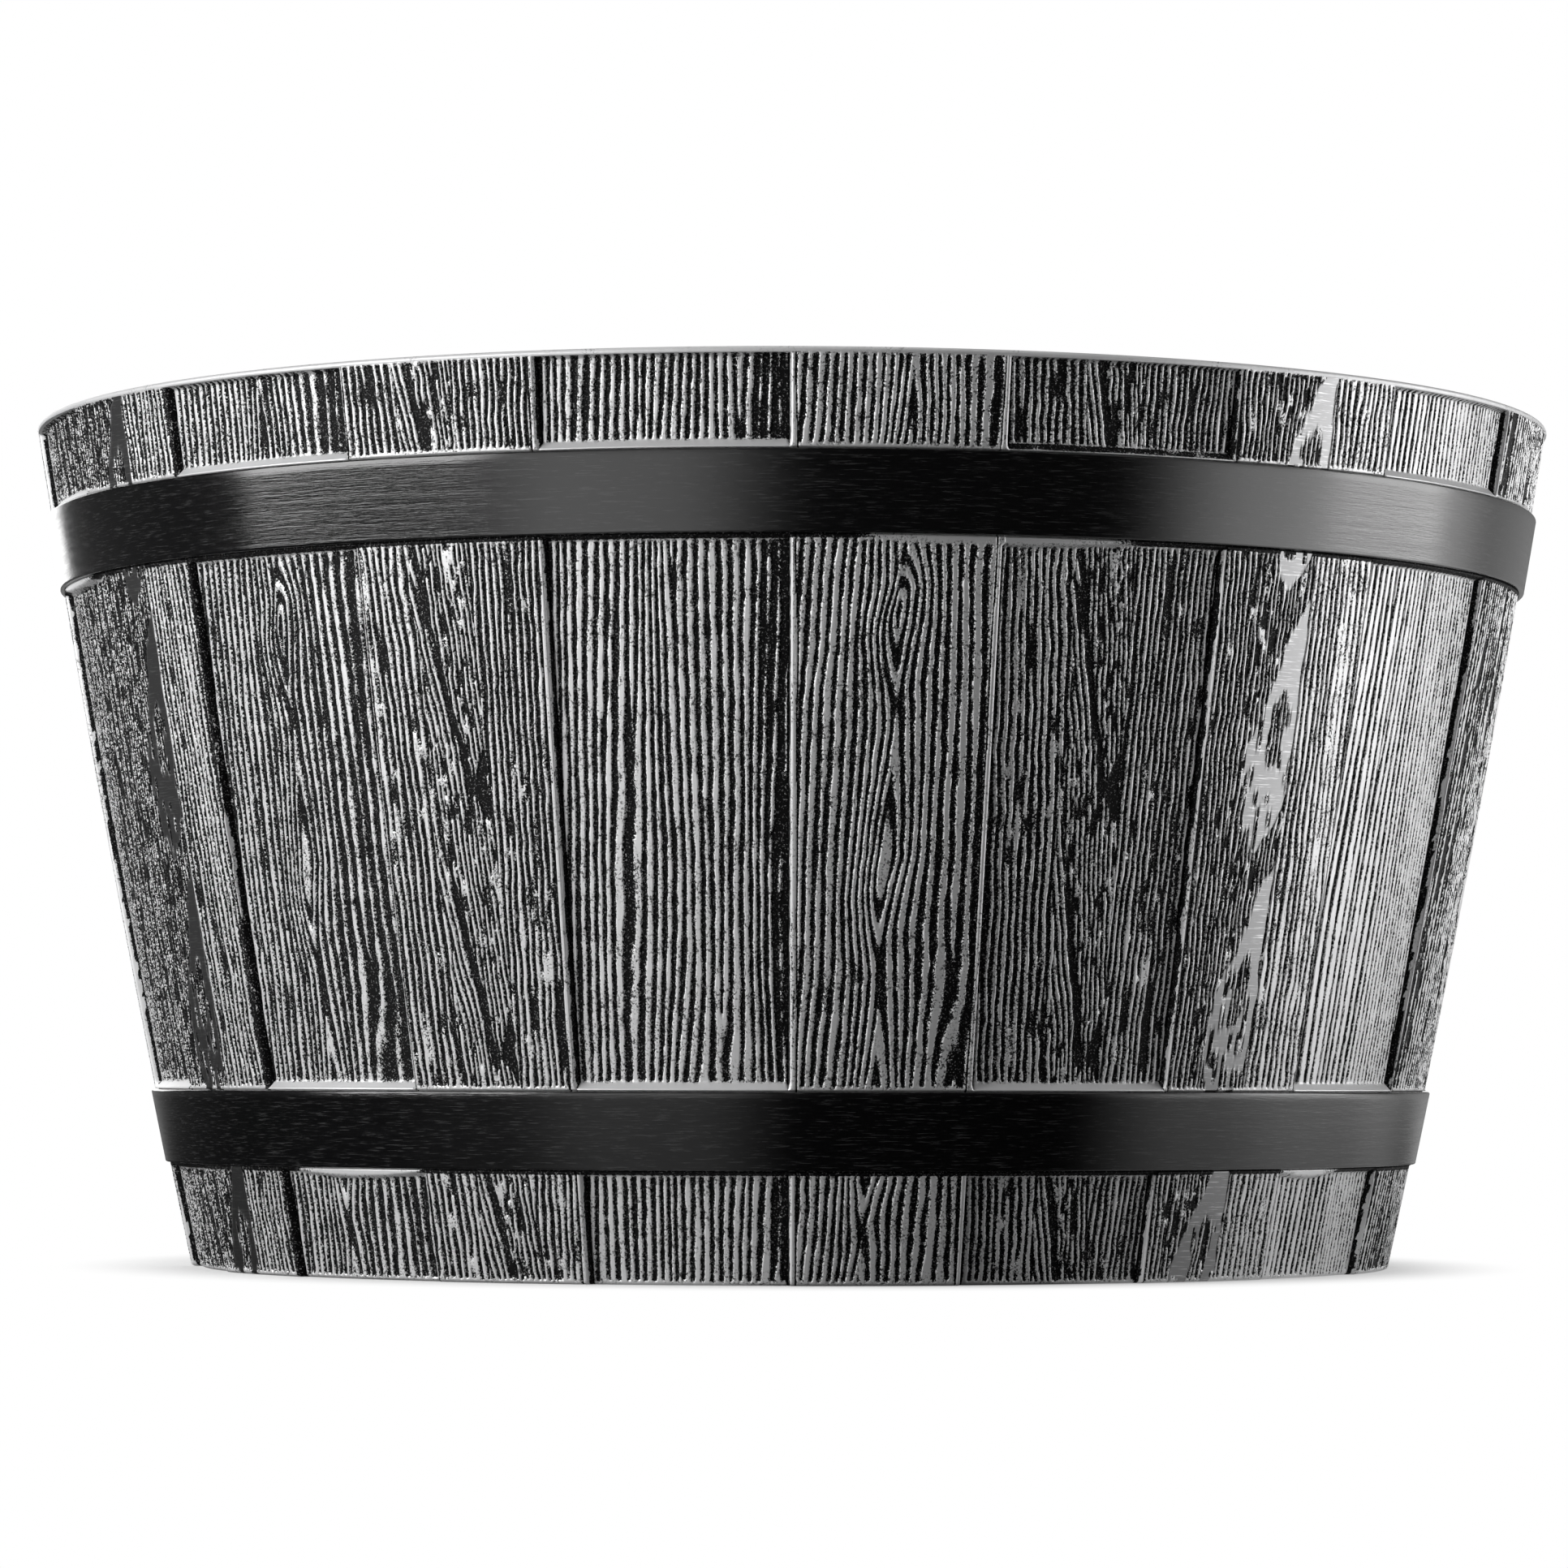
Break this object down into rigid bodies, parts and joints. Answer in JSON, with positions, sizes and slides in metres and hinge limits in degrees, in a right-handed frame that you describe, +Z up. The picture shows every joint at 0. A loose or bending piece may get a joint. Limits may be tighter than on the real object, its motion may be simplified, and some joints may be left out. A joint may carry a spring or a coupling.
{
  "type": "barrel planter",
  "caption": "Round tapered planter tub moulded in the shape of half a barrel, with alternating proud and recessed staves, black hoops and drain plugs in its floor.",
  "frame": {"origin": "middle of the flat ring that the tub stands on", "axes": "+Z up along the axis of the tub, -Y towards the viewer of the picture"},
  "size_m": [0.4096, 0.4098, 0.225],
  "materials": {
    "wood_effect_resin": "black moulded resin with worn silver on the raised grain",
    "black_band": "satin black with fine brush streaks",
    "plug_rubber": "dull black rubber"
  },
  "bodies": {
    "tub": {"tub": "wood_effect_resin", "lower_hoop": "black_band", "upper_hoop": "black_band"},
    "drain_plug_1": {"drain_plug_1": "plug_rubber"},
    "drain_plug_2": {"drain_plug_2": "plug_rubber"},
    "drain_plug_3": {"drain_plug_3": "plug_rubber"},
    "drain_plug_4": {"drain_plug_4": "plug_rubber"},
    "drain_plug_5": {"drain_plug_5": "plug_rubber"}
  },
  "joints": [
    {"name": "drain_plug_1_pull", "type": "slide", "parent": "tub", "child": "drain_plug_1", "axis": [0, 0, 1], "range_m": [0, 0.03]},
    {"name": "drain_plug_2_pull", "type": "slide", "parent": "tub", "child": "drain_plug_2", "axis": [0, 0, 1], "range_m": [0, 0.03]},
    {"name": "drain_plug_3_pull", "type": "slide", "parent": "tub", "child": "drain_plug_3", "axis": [0, 0, 1], "range_m": [0, 0.03]},
    {"name": "drain_plug_4_pull", "type": "slide", "parent": "tub", "child": "drain_plug_4", "axis": [0, 0, 1], "range_m": [0, 0.03]},
    {"name": "drain_plug_5_pull", "type": "slide", "parent": "tub", "child": "drain_plug_5", "axis": [0, 0, 1], "range_m": [0, 0.03]}
  ]
}
